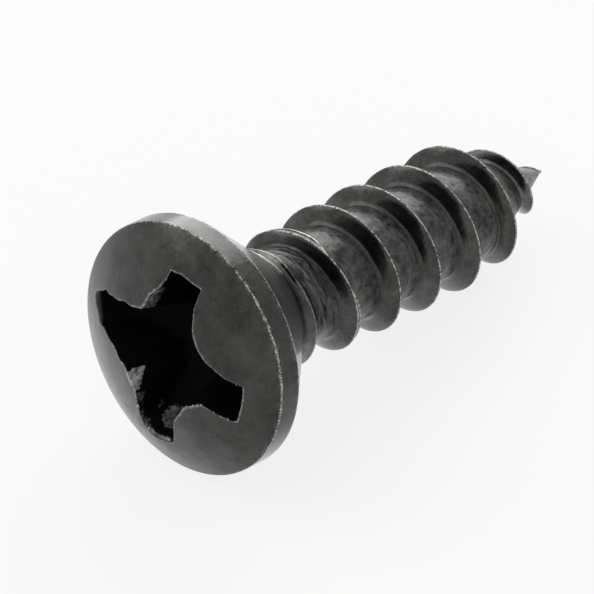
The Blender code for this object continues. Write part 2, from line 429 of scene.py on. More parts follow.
# The floor, in metres: paper that glows in part. Each pair is what the camera sees and what the screw mirrors
FLOOR_HALF_WIDTH = 2.0
FLOOR_COLOUR = (0.9, 0.9, 0.9, 1)
FLOOR_GLOW_COLOUR = (1, 1, 0.998, 1)
FLOOR_GLOWS = (0.975, 1.1)
FLOOR_GLOW_SHARES = (0.85, 0.95)

# The white surrounding: as light on the floor, and as the camera and the screw see it
WORLD_COLOUR = (0.96, 0.96, 0.96, 1)
WORLD_STRENGTHS = (0.6, 1.02)

# Softboxes in metres: azimuth and elevation in degrees, and the radiance that a mirror would show
SOFTBOX_DISTANCE = 0.5
SOFTBOX_SIZE = 0.42
SOFTBOXES = {
    "back_softbox": (32, 23, 3.6),
    "left_softbox": (118, 38, 1.5),
}


def smooth_max(first, second, blend):
    """The larger value, with a smooth passage where both are alike."""
    return 0.5 * (first + second + np.sqrt((first - second) ** 2 + blend**2))


def bump(value, centre, width):
    """1 at the centre, 0 a few widths away."""
    return np.exp(-(((value - centre) / width) ** 2))


def bumps(value, spots):
    """The sum of bumps, each given by its centre, width and height."""
    return sum(height * bump(value, centre, width) for centre, width, height in spots)


def ramp(value, low, high):
    """0 below low, 1 above high and smooth between."""
    t = np.clip((value - low) / (high - low), 0, 1)
    return t * t * (3 - 2 * t)


def window(value, start, full, last, end):
    """1 between full and last, 0 outside start and end."""
    return ramp(value, start, full) * (1 - ramp(value, last, end))


def curve(start, corner, end, t):
    """A point at the share t of a curve from start to end that leans towards the corner."""
    return (1 - t) ** 2 * start + 2 * t * (1 - t) * corner + t**2 * end


def between(start, end, share):
    """The value at a share of the way from start to end."""
    return start + (end - start) * share


def steps(count):
    """The shares from 0 to 1 in this many even steps."""
    return np.linspace(0, 1, count + 1)


def turned_from(angle, middle, turn=math.tau):
    """How far an angle lies from the middle one, from minus half a turn to half a turn."""
    return (angle - middle + turn / 2) % turn - turn / 2


def near_side(angle):
    """Angle from the side that faces the camera, from -pi to pi."""
    return turned_from(angle, NEAR_ANGLE)


def noise_at(points, scale, octaves=1):
    """Noise from about -1 to 1 at each point."""
    scaled = points * scale
    if octaves == 1:
        return np.array([noise.noise(Vector(p)) for p in scaled])
    return np.array([noise.fractal(Vector(p), OCTAVE_STRENGTH, OCTAVE_STEP, octaves) for p in scaled])


def shank_radius(place):
    left = np.clip((LENGTH - place) / POINT_LENGTH, 0, 1)
    return CORE_RADIUS * (1 - (1 - left) ** POINT_FULLNESS)


def core_radius(place):
    """Radius of the screw without its thread: countersunk cone, neck fillet, shank and point."""
    place = np.asarray(place, float)
    reach = NECK_FILLET_RADIUS * math.tan(COUNTERSINK_ANGLE / 4)
    fillet_start = SEAT_END - reach * math.cos(COUNTERSINK_ANGLE / 2)
    fillet_end = SEAT_END + reach
    cone = CORE_RADIUS + (SEAT_END - place) * SEAT_SLOPE
    inside = np.clip(NECK_FILLET_RADIUS**2 - (fillet_end - place) ** 2, 0, None)
    fillet = CORE_RADIUS + NECK_FILLET_RADIUS - np.sqrt(inside)
    neck = np.where(place < fillet_end, fillet, shank_radius(place))
    return np.where(place <= fillet_start, cone, neck)


def crest_radius(place):
    """Radius of the thread's crest where it stands clear of the core."""
    place = np.asarray(place, float)
    grown = np.clip((place - SEAT_END - RUN_IN_OFFSET) / RUN_IN_LENGTH, 0, 1)
    radius = between(RUN_IN_RADIUS, THREAD_RADIUS, 1 - (1 - grown) ** 2)
    left = np.clip((HELIX_END - place) / (POINT_LENGTH - POINT_BLUNT_LENGTH), 0, 1)
    corner = bumps(place, (CREST_CORNER,))
    return shank_radius(place) + (radius - CORE_RADIUS) * (1 - (1 - left) ** 2) + corner


def crest_place(turn, angle):
    """Where along the axis a turn's crest passes an angle."""
    even = SEAT_END + PITCH * (turn + (angle - THREAD_TURN) / math.tau)
    shift = FIRST_TURN_SHIFT * (1 - ramp(even, *FIRST_SHIFT_PLACES))
    return even + shift + bumps(even, CREST_SHIFTS)


def seam(crest):
    """1 where the crest has its widest open seam and 0 where it has none."""
    return sum(share * window(crest, *places) for *places, share in SEAMS)


def thread_size(crest):
    """Foot radius, height, middle and half width of the thread's crest, which a seam widens backwards."""
    foot = np.minimum(core_radius(crest), CORE_RADIUS)
    height = np.maximum(0, crest_radius(crest) - foot)
    widening = SEAM_WIDTH / 2 * seam(crest)
    return foot, height, crest + widening, CREST_WIDTH / 2 + widening


def behind_first_turn(place, angle):
    """How far a point lies behind the first turn of the near side."""
    return place - crest_place(0, NEAR_ANGLE + near_side(angle))


def on_first_flank(crest):
    """1 on the first turn, falling to 0 on the second."""
    return 1 - ramp(crest, *FIRST_FLANK_PLACES)


def flank_spread(crest, angle):
    """How far a flank leans along the axis for each millimetre of height, just below the crest."""
    opened = window(near_side(angle), *OPEN_FLANK_SIDES)
    lean = between(FLANK_ANGLE, OPEN_FLANK_ANGLE, opened)
    return np.tan(between(lean, FIRST_FLANK_ANGLE, on_first_flank(crest)))


def foot_fillet(crest):
    """How softly a flank meets the core, more softly on the first turn."""
    return between(FLANK_FILLET, FIRST_FLANK_FILLET, on_first_flank(crest))


def surface_radius(place, angle, crest):
    """Radius of the threaded surface near a crest, with the open seams that rolling left in it."""
    foot, height, middle, half = thread_size(crest)
    away = np.abs(place - middle) - half
    rounding = smooth_max(away, 0, CREST_ROUND) - smooth_max(-half, 0, CREST_ROUND)
    thread = foot + height - rounding / flank_spread(crest, angle)
    thread -= FLANK_CURVE * np.maximum(rounding, 0) ** 2
    thread -= SEAM_DEPTH * seam(crest) * bump(place, middle, SEAM_BOTTOM_WIDTH)
    return smooth_max(core_radius(place), thread, foot_fillet(crest))


def cross_outline():
    """Points round the plain cross of the recess, whose wings end on a circle."""
    half = RECESS_WING_WIDTH / 2
    centre = half + RECESS_CORNER_RADIUS
    end = math.sqrt(RECESS_RADIUS**2 - half**2)
    quarter = []
    for side in half * (2 * steps(WING_END_POINTS)[:-1] - 1):
        quarter.append((math.sqrt(RECESS_RADIUS**2 - side**2), side))
    quarter += [(across, half) for across in between(end, centre, steps(WING_SIDE_POINTS))[:-1]]
    for turn in RIGHT_ANGLE * steps(CORNER_POINTS)[:-1]:
        across = centre - RECESS_CORNER_RADIUS * math.sin(turn)
        quarter.append((across, centre - RECESS_CORNER_RADIUS * math.cos(turn)))
    quarter += [(half, up) for up in between(centre, end, steps(WING_SIDE_POINTS))[:-1]]
    wings = [Matrix.Rotation(RIGHT_ANGLE * wing, 2) for wing in range(4)]
    turned = Matrix.Rotation(RECESS_TURN, 2)
    return np.array([turned @ (wing @ Vector(point)) for wing in wings for point in quarter])


def recess_outline():
    """Angle and radius of each point round the recess as the punch left it."""
    ring = cross_outline()
    along = np.roll(ring, -1, axis=0) - np.roll(ring, 1, axis=0)
    outward = np.stack((along[:, 1], -along[:, 0]), axis=1)
    outward /= np.linalg.norm(outward, axis=1, keepdims=True)
    growth = np.full(len(ring), EDGE_WIDENING)
    for angle, radius, reach, out in EDGE_MARKS:
        mark = radius * np.array((math.cos(math.radians(angle)), math.sin(math.radians(angle))))
        growth += out * bump(np.linalg.norm(ring - mark, axis=1), 0, reach)
    ragged = np.full(len(ring), SMOOTH_EDGE_SHARE)
    degrees = np.degrees(np.arctan2(ring[:, 1], ring[:, 0]))
    for middle, half_width in RAGGED_STRETCHES:
        away = np.abs(turned_from(degrees, middle, 360))
        fading = 1 - ramp(away, (1 - RAGGED_FADE) * half_width, (1 + RAGGED_FADE) * half_width)
        ragged = np.maximum(ragged, fading)
    flat = np.column_stack((ring, 0 * growth))
    growth += EDGE_RAGGED * ragged * sum(noise_at(flat + shift, scale) for shift, scale in EDGE_NOISES)
    ring += outward * growth[:, None]
    angles = np.unwrap(np.arctan2(ring[:, 1], ring[:, 0]))
    gaps = np.maximum(np.diff(angles, append=angles[0] + math.tau), SMALLEST_GAP)
    gaps *= math.tau / gaps.sum()
    return angles[0] + np.cumsum(gaps) - gaps, np.hypot(ring[:, 0], ring[:, 1])


def dome_place(radius):
    return DOME_RADIUS - np.sqrt(DOME_RADIUS**2 - radius**2) - DOME_HEIGHT


def recess_rings(skin, outline_radius):
    """Rings from the floor of the recess to its rounded mouth, and the radius where that ends."""
    mouth = dome_place(RECESS_RADIUS)
    shrink = math.tan(RECESS_TAPER) / RECESS_RADIUS
    slope = math.tan(RECESS_FLOOR_ANGLE) * outline_radius
    low = (RECESS_BOTTOM - slope * (1 + shrink * mouth)) / (1 - slope * shrink)
    foot = outline_radius * (1 - shrink * (low - mouth))
    edge = outline_radius.copy()
    for _ in range(EDGE_ROUNDS):
        edge = outline_radius * (1 - shrink * (dome_place(edge) - mouth))
    top = dome_place(edge)
    rings = []
    for part in steps(FLOOR_RINGS)[1:]:
        rings.append(skin.add_ring(between(RECESS_BOTTOM, low, part), foot * part, recess=1.0))
    edge_round = np.full(len(edge), RECESS_EDGE_ROUND)
    for middle, half_width, extra in SOFT_EDGES:
        edge_round += extra * bump(turned_from(np.degrees(skin.angles), middle, 360), 0, half_width)
    near_mouth = 1 - edge_round / np.hypot(top - low, edge - foot)
    for share in steps(WALL_RINGS)[1:]:
        part = near_mouth * (1 - (1 - share) ** WALL_CROWDING)
        rings.append(skin.add_ring(between(low, top, part), between(foot, edge, part), recess=1.0))
    start_place = between(low, top, near_mouth)
    start_radius = between(foot, edge, near_mouth)
    end_radius = edge + edge_round
    narrow = (RECESS_EDGE_ROUND / edge_round) ** 2
    for t in steps(MOUTH_RINGS + 1)[1:-1]:
        place = curve(start_place, top, dome_place(end_radius), t)
        radius = curve(start_radius, edge, end_radius, t)
        wear = math.sin(math.pi * t) ** 2 * narrow
        rings.append(skin.add_ring(place, radius, wear=wear, recess=1 - t))
    return rings, end_radius


def dome_rings(skin, start_radius):
    """Rings of the dome, from the mouth of the recess to the rim."""
    for share in steps(DOME_RINGS):
        radius = between(start_radius, DOME_END, share)
        wear = DOME_EDGE_WEAR if share == 0 else 0.0
        yield skin.add_ring(dome_place(radius), radius, wear=wear)


def rim_rings(skin):
    """Rings of the rim with its rounded edges, and of the cone up to the helix."""
    for t in steps(RIM_EDGE_RINGS + 1)[1:-1]:
        place = curve(dome_place(DOME_END), 0, FRONT_ROUND_REACH, t)
        yield skin.add_ring(place, curve(DOME_END, HEAD_RADIUS, HEAD_RADIUS, t))
    back = RIM_HEIGHT - RIM_ROUND * math.tan(COUNTERSINK_ANGLE / 4)
    for place in between(FRONT_ROUND_REACH, back, steps(RIM_RINGS)):
        yield skin.add_ring(place, HEAD_RADIUS)
    for angle in COUNTERSINK_ANGLE / 2 * steps(RIM_EDGE_RINGS)[1:]:
        place = back + RIM_ROUND * math.sin(angle)
        yield skin.add_ring(place, HEAD_RADIUS - RIM_ROUND * (1 - math.cos(angle)))
    seat_start = back + RIM_ROUND * math.sin(COUNTERSINK_ANGLE / 2)
    for place in between(seat_start, HELIX_START, steps(SEAT_RINGS))[1:]:
        yield skin.add_ring(place, core_radius(place), groove=SEAT_TONE)


def turn_section():
    """The points of one turn from front to back, as (part of the profile, share of that part)."""
    parts = {
        "front fillet": steps(FILLET_POINTS)[:0:-1],
        "front flank": steps(FLANK_POINTS)[:0:-1],
        "crest": 2 * steps(CREST_POINTS - 1) - 1,
        "back flank": steps(FLANK_POINTS)[1:],
        "back fillet": steps(FILLET_POINTS)[1:],
        "groove": steps(GROOVE_POINTS + 1)[1:-1],
    }
    return [(kind, share) for kind, shares in parts.items() for share in shares]


def section_place(kind, share, crest, angle):
    """Where a point of the section lies along the axis."""
    height, middle, half = thread_size(crest)[1:]
    half = half + CREST_ROUND_SHARE * CREST_ROUND
    slope = 1 / flank_spread(crest, angle)
    flank = (np.sqrt(slope**2 + 4 * FLANK_CURVE * height) - slope) / (2 * FLANK_CURVE)
    flank = np.maximum(flank, SHORTEST_FLANK)
    reach = FILLET_REACH * foot_fillet(crest)
    side = -1 if kind.startswith("front") else 1
    if kind == "crest":
        return middle + share * half
    if kind.endswith("flank"):
        return middle + side * (half + share * flank)
    if kind.endswith("fillet"):
        return middle + side * (half + flank + share * reach)
    used = half + flank + reach
    return middle + used + (PITCH - 2 * used) * share


# The marks that a point of the mesh starts with, for the material
FIRST_MARKS = {"wear": 0.0, "recess": 0.0, "groove": 0.0, "across": OFF_THREAD, "seam": 0.0, "crumb": 0.0}


class Skin:
    """The screw's surface as a list of points with their marks, and the faces between them."""

    def __init__(self, angles):
        self.angles = angles
        self.points = []
        self.marks = []
        self.faces = []

    def add(self, place, radius, angle, **marks):
        """Adds a point and returns its number."""
        self.points.append((place, radius, angle))
        self.marks.append({**FIRST_MARKS, **marks})
        return len(self.points) - 1

    def point(self, number):
        place, radius, angle = self.points[number]
        return Vector((place, radius * math.cos(angle), radius * math.sin(angle)))

    def add_ring(self, place, radius, **marks):
        """Adds a point for each column, from single values or arrays of them."""
        columns = zip(*np.broadcast_arrays(place, radius, self.angles, *marks.values()))
        return [self.add(at, out, angle, **dict(zip(marks, own))) for at, out, angle, *own in columns]

    def join(self, rings):
        """Adds the faces between each ring and the next."""
        columns = len(self.angles)
        for near, far in zip(rings, rings[1:]):
            for column in range(columns):
                after = (column + 1) % columns
                self.add_face(near[column], near[after], far[after], far[column])

    def add_face(self, *corners):
        """Adds a face between points, without the corners that fall together."""
        loop = list(dict.fromkeys(corners))
        if len(loop) > 2:
            self.faces.append(loop)


def add_burr(skin, edge, angle, radius, length, height, turn, seed):
    """An angular crumb of metal, half sunk in the nearest point of the edge of the recess."""
    mesh = bmesh.new()
    bmesh.ops.create_icosphere(mesh, subdivisions=1, radius=1)
    across = radius * math.cos(angle)
    up = radius * math.sin(angle)
    centre = min(edge, key=lambda point: math.hypot(point.y - across, point.z - up))
    turned = Matrix.Rotation(angle + turn, 3, "X")
    shift = Vector((seed, 0, 0))
    numbers = []
    for vertex in mesh.verts:
        stretch = 1 + BURR_ROUGHNESS * noise.noise(vertex.co * BURR_NOISE_SCALE + shift)
        shaped = Vector((vertex.co.x * height, vertex.co.y * length, vertex.co.z * height)) * stretch
        point = centre + turned @ shaped
        from_axis = math.hypot(point.y, point.z)
        numbers.append(skin.add(point.x, from_axis, math.atan2(point.z, point.y), crumb=1.0))
    for face in mesh.faces:
        skin.add_face(*(numbers[vertex.index] for vertex in face.verts))
    mesh.free()


def add_helix(skin, first_ring, last_ring):
    """The shank's skin, whose rows of faces follow the thread from the first ring to the last."""
    section = turn_section()
    per_turn = len(section)
    columns = len(skin.angles)
    first_turn = math.floor((HELIX_START - SEAT_END) / PITCH) - SPARE_TURNS
    last_turn = math.ceil((HELIX_END - SEAT_END) / PITCH) + SPARE_TURNS
    numbers = np.empty(((last_turn - first_turn + 1) * per_turn, columns), int)
    for row in range(len(numbers)):
        turn, point = divmod(row, per_turn)
        kind, share = section[point]
        crest = crest_place(first_turn + turn, skin.angles)
        place = section_place(kind, share, crest, skin.angles)
        radius = surface_radius(place, skin.angles, crest)
        height = crest_radius(crest) - core_radius(crest)
        across = place - thread_size(crest)[2]
        across += np.where(height > LOWEST_THREAD, 0, OFF_THREAD)
        wear = between(FIRST_CREST_WEAR, 1, ramp(crest, *CREST_WEAR_PLACES))
        wear *= ramp(crest, *WEAR_START_PLACES) * (np.abs(across) < WEAR_REACH)
        in_groove = kind in ("front fillet", "back fillet", "groove")
        groove = in_groove * between(SEAT_TONE, 1, ramp(place, *GROOVE_TONE_PLACES))
        marks = {"wear": wear, "groove": groove, "across": across, "seam": seam(crest)}
        for column in range(columns):
            if place[column] <= HELIX_START:
                numbers[row, column] = first_ring[column]
            elif place[column] >= HELIX_END:
                numbers[row, column] = last_ring[column]
            else:
                own = {name: values[column] for name, values in marks.items()}
                numbers[row, column] = skin.add(place[column], radius[column], skin.angles[column], **own)
    for row in range(len(numbers) - per_turn - 1):
        for column in range(columns):
            after = (column + 1) % columns
            side = row if after else row + per_turn
            corners = ((row, column), (side, after), (side + 1, after), (row + 1, column))
            skin.add_face(*(numbers[corner] for corner in corners))


def screw_skin():
    """The whole surface: recess, dome, rim and cone, the thread, the tip and the crumbs."""
    angles, outline = recess_outline()
    skin = Skin(angles)
    head, mouth_radius = recess_rings(skin, outline)
    head += dome_rings(skin, mouth_radius)
    head += rim_rings(skin)
    pit = skin.add(RECESS_BOTTOM, 0.0, 0.0, recess=1.0)
    skin.join([[pit] * len(angles), *head])
    end_radius = float(core_radius(HELIX_END))
    tips = []
    for turn in RIGHT_ANGLE * steps(TIP_RINGS)[:-1]:
        place = HELIX_END + POINT_BLUNT_LENGTH * math.sin(turn)
        tips.append(skin.add_ring(place, end_radius * math.cos(turn), wear=TIP_WEAR))
    tip = skin.add(LENGTH, 0.0, 0.0, wear=TIP_WEAR)
    skin.join([*tips, [tip] * len(angles)])
    add_helix(skin, head[-1], tips[0])
    edge = [skin.point(number) for number in head[FLOOR_RINGS + WALL_RINGS + MOUTH_RINGS // 2]]
    for count, (angle, radius, length, height, turn) in enumerate(BURRS):
        seed = BURR_NOISE_STEP * count
        add_burr(skin, edge, math.radians(angle), radius, length, height, math.radians(turn), seed)
    return skin


def rest_matrix():
    """From the screw's own axes, in millimetres, to where the solid lies, in metres."""
    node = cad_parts["screw"]
    tip = max((vertex.co for vertex in node.data.vertices), key=lambda co: co.x)
    turn = Matrix.Rotation(REST_TILT, 4, "Y")
    scale = Matrix.Scale(MM, 4)
    shift = tip - (turn @ scale @ Vector((LENGTH, 0, 0)))
    return Matrix.Translation(shift) @ turn @ scale


def patch_depth(place, angle, corners):
    """How far inside a patch with these corners each point lies, and less than 0 outside."""
    middle = corners[0][0]
    across = turned_from(np.degrees(angle), middle, 360) * TEAR_ANGLE_SCALE
    points = [((corner - middle) * TEAR_ANGLE_SCALE, at) for corner, at in corners]
    centre = np.mean(points, axis=0)
    depth = np.full(len(place), FAR)
    for (x0, y0), (x1, y1) in zip(points, points[1:] + points[:1]):
        length = math.hypot(x1 - x0, y1 - y0)
        side = ((across - x0) * (y1 - y0) - (place - y0) * (x1 - x0)) / length
        inner = ((centre[0] - x0) * (y1 - y0) - (centre[1] - y0) * (x1 - x0)) / length
        depth = np.minimum(depth, side * math.copysign(1, inner))
    return depth


def torn_walls(place, angle, recess):
    """How far inside a torn patch each point lies, how light that is and how softly it fades."""
    deepest = np.full(len(place), OUTSIDE_TEAR)
    light = np.zeros(len(place))
    fade = np.full(len(place), PLAIN_FADE)
    for lightness, softness, corners in TEARS:
        depth = np.where(recess > INSIDE_RECESS, patch_depth(place, angle, corners), OUTSIDE_TEAR)
        deeper = depth > deepest
        light = np.where(deeper, lightness, light)
        fade = np.where(deeper, softness, fade)
        deepest = np.where(deeper, depth, deepest)
    return deepest, light, fade


def rim_edges(place, radius, near):
    """How far each point lies from the nearest edge of the rim, and how worn that edge is there."""
    front = np.where(place > 0, place, (HEAD_RADIUS - radius) / math.cos(DOME_STEEPEST))
    back = np.abs(place - RIM_HEIGHT)
    front_wear = RIM_WEAR + bumps(near, FRONT_WEAR_SIDES)
    back_wear = RIM_WEAR + bumps(near, BACK_WEAR_SIDES)
    return np.minimum(front, back), np.where(front < back, front_wear, back_wear)


def foot_crud_and_shade(place, radius):
    """1 in the darkened corner at the foot of the thread: crud and painted shade."""
    rise = radius - core_radius(place)
    return window(rise, *FOOT_DARK_RISES) * (1 - ramp(place, *FOOT_DARK_END_PLACES))


def highlight_share(place, near, behind):
    """How much painted highlight each point has: along the first turn, and the glint on the cone."""
    turn = bumps(near, HIGHLIGHT_SIDES) * bump(behind, *HIGHLIGHT_BAND)
    at, length, side, width, share = CONE_GLINT
    return turn + share * bump(place, at, length) * bump(near, side, width)


def shade_by_recess(place, radius, near):
    """1 in the middle of the painted shade on the dome."""
    side, width, at, length = DOME_SHADE
    return bump(turned_from(near, side), 0, width) * bump(radius, at, length) * (place < 0)


def worn_surface(skin):
    """The skin's points with the lap and the torn groove, and all the marks that the material reads."""
    place, radius, angle = np.array(skin.points).T
    marks = {name: np.array([point[name] for point in skin.marks]) for name in FIRST_MARKS}
    near = near_side(angle)
    behind = behind_first_turn(place, angle)
    shank = (marks["recess"] == 0) & (place > MARKED_SHANK_START)
    # crud and painted shade at the foot of the thread
    marks["foot"] = foot_crud_and_shade(place, radius) * shank
    marks["torn"] = window(behind, *TORN_GROOVE_BEHIND) * window(near, *TORN_GROOVE_SIDES) * shank
    marks["lap"] = window(near, *LAP_SIDES) * shank
    marks["behind"] = np.where(shank, behind, FAR)
    along, round_axis = TEAR_STRETCH
    drawn = np.stack((behind * along, near * round_axis, 0 * near), axis=1)
    radius += TEAR_DEPTH * marks["torn"] * noise_at(drawn, 1, TEAR_OCTAVES)
    radius -= LAP_DEPTH * marks["lap"] * bump(behind, LAP_PLACE, LAP_WIDTH)
    tears = torn_walls(place, angle, marks["recess"])
    marks["torn_depth"], marks["torn_light"], marks["torn_fade"] = tears
    # painted highlight along the first turn and glint on the cone
    marks["painted_highlight"] = highlight_share(place, near, behind) * (marks["recess"] == 0)
    # painted shade on the dome beside the recess
    marks["shaded_dome"] = shade_by_recess(place, radius, near)
    marks["tip"] = ramp(place, *TIP_PLACES)
    edge_away, marks["edge_wear"] = rim_edges(place, radius, near)
    outside = (marks["recess"] < INSIDE_RECESS) & (marks["crumb"] == 0)
    marks["edge_away"] = np.where(outside, edge_away, FAR)
    phase = math.tau * place / PITCH - angle
    points = np.stack((place, radius * np.cos(angle), radius * np.sin(angle)), axis=1)
    marks["flow"] = np.stack((points[:, 1] + FLOW_SLANT * place, points[:, 2], np.cos(phase)), axis=1)
    marks["scratch"] = np.stack((behind, near, np.sin(phase)), axis=1)
    return points, marks


def add_object(name, data):
    obj = bpy.data.objects.new(name, data)
    bpy.context.scene.collection.objects.link(obj)
    return obj


def build_screw():
    skin = screw_skin()
    points, marks = worn_surface(skin)
    matrix = np.array(rest_matrix())
    world = points @ matrix[:3, :3].T + matrix[:3, 3]
    world[:, 2] -= min(0, world[:, 2].min())
    data = bpy.data.meshes.new("worn_screw")
    data.from_pydata(world.tolist(), [], skin.faces)
    for name, values in marks.items():
        kind, field = ("FLOAT", "value") if values.ndim == 1 else ("FLOAT_VECTOR", "vector")
        attribute = data.attributes.new(name, kind, "POINT")
        attribute.data.foreach_set(field, values.astype(np.float32).ravel())
    data.validate()
    data.shade_smooth()
    for polygon in data.polygons:
        if marks["crumb"][polygon.vertices[0]] > 0:
            polygon.use_smooth = False
    return add_object("worn_screw", data)


class Nodes:
    """Short ways to add shader nodes to a material or the world, and to link them."""

    def __init__(self, owner):
        owner.use_nodes = True
        self.tree = owner.node_tree

    def add(self, kind, inputs=None, **settings):
        node = self.tree.nodes.new(kind)
        for name, value in settings.items():
            setattr(node, name, value)
        for name, value in (inputs or {}).items():
            self.put(value, node.inputs[name])
        return node

    def put(self, value, socket):
        """Links an output to the socket, or sets the socket to a value."""
        if isinstance(value, bpy.types.NodeSocket):
            self.tree.links.new(value, socket)
        else:
            socket.default_value = value

    def math(self, operation, first, second=0.0):
        return self.add("ShaderNodeMath", {0: first, 1: second}, operation=operation).outputs[0]

    def chain(self, operation, values):
        """The values, joined one after another by an operation."""
        result, *others = values
        for value in others:
            result = self.math(operation, result, value)
        return result

    def times(self, *values):
        return self.chain("MULTIPLY", values)

    def plus(self, *values):
        return self.chain("ADD", values)

    def most(self, *values):
        return self.chain("MAXIMUM", values)

    def without(self, mask):
        """1 where the mask is 0 and 0 where it is 1."""
        return self.math("SUBTRACT", 1.0, mask)

    def away(self, value, middle):
        """How far a value is from the middle."""
        return self.math("ABSOLUTE", self.math("SUBTRACT", value, middle))

    def ramp(self, value, low, high, to_low=0.0, to_high=1.0):
        inputs = {"Value": value, "From Min": low, "From Max": high, "To Min": to_low, "To Max": to_high}
        return self.add("ShaderNodeMapRange", inputs).outputs[0]

    def drawn_line(self, away, widest, pattern, reach):
        """1 on a scratchy line whose half width follows a pattern, where away is the distance from it."""
        width = self.ramp(pattern, *reach, 0.0, widest)
        return self.ramp(self.math("SUBTRACT", width, away), *LINE_ENDS)

    def mix(self, factor, first, second):
        node = self.add("ShaderNodeMix", data_type="RGBA")
        for name, value in (("Factor", factor), ("A", first), ("B", second)):
            self.put(value, next(s for s in node.inputs if s.name == name and s.enabled))
        return next(s for s in node.outputs if s.enabled)

    def mark(self, name, output="Fac"):
        """What the mesh holds under this name."""
        return self.add("ShaderNodeAttribute", attribute_name=name).outputs[output]

    def noise(self, vector, scale, detail, distortion=0.0):
        inputs = {"Vector": vector, "Scale": scale, "Detail": detail, "Distortion": distortion}
        return self.add("ShaderNodeTexNoise", inputs).outputs["Fac"]

    def stretched(self, vector, stretch):
        return self.add("ShaderNodeVectorMath", {0: vector, 1: stretch}, operation="MULTIPLY").outputs[0]

    def relief(self, height, strength, distance, under=None):
        """A normal with this relief, over another one if that is given."""
        inputs = {"Height": height, "Strength": strength, "Distance": distance}
        if under:
            inputs["Normal"] = under
        return self.add("ShaderNodeBump", inputs).outputs["Normal"]


def finish_maps(nodes):
    """By name, from 0 to 1: the patterns of the finish, and where each of its layers lies."""
    place = nodes.add("ShaderNodeTexCoord").outputs["Object"]
    maps = {name: nodes.mark(name) for name in MASK_MARKS}
    maps["all"] = 1.0
    for name, (scale, detail) in NOISES.items():
        maps[name] = nodes.noise(place, scale, detail)
    for name, (path, stretch, *settings) in DRAWN_NOISES.items():
        maps[name] = nodes.noise(nodes.stretched(nodes.mark(path, "Vector"), stretch), *settings)
    facets = nodes.add("ShaderNodeTexVoronoi", {"Vector": place, "Scale": FACET_SCALE}).outputs["Color"]
    maps["facets"] = nodes.add("ShaderNodeSeparateColor", {"Color": facets}).outputs[0]
    for name, shares in BLENDS.items():
        maps[name] = nodes.plus(*(nodes.times(maps[part], share) for part, share in shares.items()))
    maps["chipped"] = nodes.ramp(nodes.mark("edge_away"), *CHIPPED_REACH)
    maps["on_thread"] = nodes.math("LESS_THAN", nodes.mark("across"), ON_THREAD)
    # the lap's slit, painted black as shade in the crease
    from_lap = nodes.away(nodes.mark("behind"), LAP_PLACE)
    painted_shade_slit = nodes.ramp(from_lap, LAP_WIDTH, SLIT_CORE_SHARE * LAP_WIDTH)
    maps["painted_shade_slit"] = nodes.times(nodes.mark("lap"), painted_shade_slit)
    return maps


def oxide_skin(nodes, maps):
    """The colour of the finish with its stains, chips, scratches, painted shade and painted highlights, and
    how far it has no oil.
    """
    head, flank, groove = (
        nodes.mix(nodes.ramp(maps[pattern], *reach), dark, light) for pattern, reach, dark, light in TONES
    )
    skin = nodes.mix(maps["groove"], nodes.mix(maps["on_thread"], head, flank), groove)
    bare = 0.0
    for place, pattern, reach, colour, is_bare in LAYERS:
        share = nodes.times(maps[place], nodes.ramp(maps[pattern], *reach))
        skin = nodes.mix(share, skin, colour)
        if is_bare:
            bare = nodes.most(bare, share)
    return skin, bare


def torn_metal(nodes, maps):
    """Where the walls of the recess are torn, with a ragged edge, and the colour of the metal there."""
    mean_ragged = sum(BLENDS["ragged"].values()) / 2
    depth = nodes.math("SUBTRACT", nodes.plus(nodes.mark("torn_depth"), maps["ragged"]), mean_ragged)
    torn_wall = nodes.times(nodes.ramp(depth, 0.0, nodes.mark("torn_fade")), maps["recess"])
    light = nodes.mark("torn_light")
    dark = nodes.mix(light, *TORN_DARK_COLOURS)
    bright = nodes.mix(light, *TORN_BRIGHT_COLOURS)
    metal = nodes.mix(nodes.ramp(maps["crystalline"], *TORN_RANGE), dark, bright)
    lit_edge = nodes.ramp(nodes.away(depth, LIT_EDGE_DEPTH), *LIT_EDGE_WIDTHS)
    return torn_wall, nodes.mix(nodes.times(lit_edge, LIT_EDGE_SHARE), metal, bright)


def worn_share(nodes, maps):
    """How far the oxide is worn off: on the crest, the rim's edges, the edge of the recess and its crumbs."""
    wear = nodes.mark("wear")
    from_middle = nodes.away(nodes.mark("across"), CREST_LINE_MIDDLE)
    from_lips = nodes.away(from_middle, nodes.times(nodes.mark("seam"), SEAM_WIDTH / 2))
    crest_line = nodes.drawn_line(from_lips, CREST_LINE_WIDTH, maps["scuffed"], CREST_LINE_RANGE)
    crest_line = nodes.times(crest_line, wear, maps["on_thread"], nodes.without(maps["painted_shade_slit"]))
    widest = nodes.times(nodes.mark("edge_wear"), RIM_LINE_WIDTH)
    rim_line = nodes.drawn_line(nodes.mark("edge_away"), widest, maps["dotted"], RIM_LINE_RANGE)
    rim_line = nodes.times(rim_line, nodes.ramp(maps["broken"], *RIM_GAPS_RANGE))
    scuffs = nodes.ramp(maps["scuffed"], *RECESS_LINE_RANGE)
    recess_line = nodes.times(wear, scuffs, nodes.without(maps["on_thread"]))
    crumbs = nodes.times(nodes.mark("crumb"), nodes.ramp(maps["blots"], *CRUMB_RANGE))
    worn = nodes.most(crest_line, rim_line, recess_line, crumbs)
    return nodes.times(worn, nodes.ramp(maps["thinned"], *THINNED_RANGE))


def finish_relief(nodes, maps, torn_wall):
    """The finish's relief: its grain, the dents and scratches in the grooves, and the torn walls."""
    grain = nodes.relief(maps["grained"], *GRAIN_RELIEF)
    dents = nodes.times(maps["dented"], maps["groove"])
    scratches = nodes.times(maps["scratches"], maps["torn"], SCRATCH_HEIGHT)
    drawn = nodes.relief(nodes.plus(dents, scratches), *DRAWN_RELIEF, under=grain)
    return nodes.relief(nodes.times(maps["crystalline"], torn_wall), *TORN_RELIEF, under=drawn)


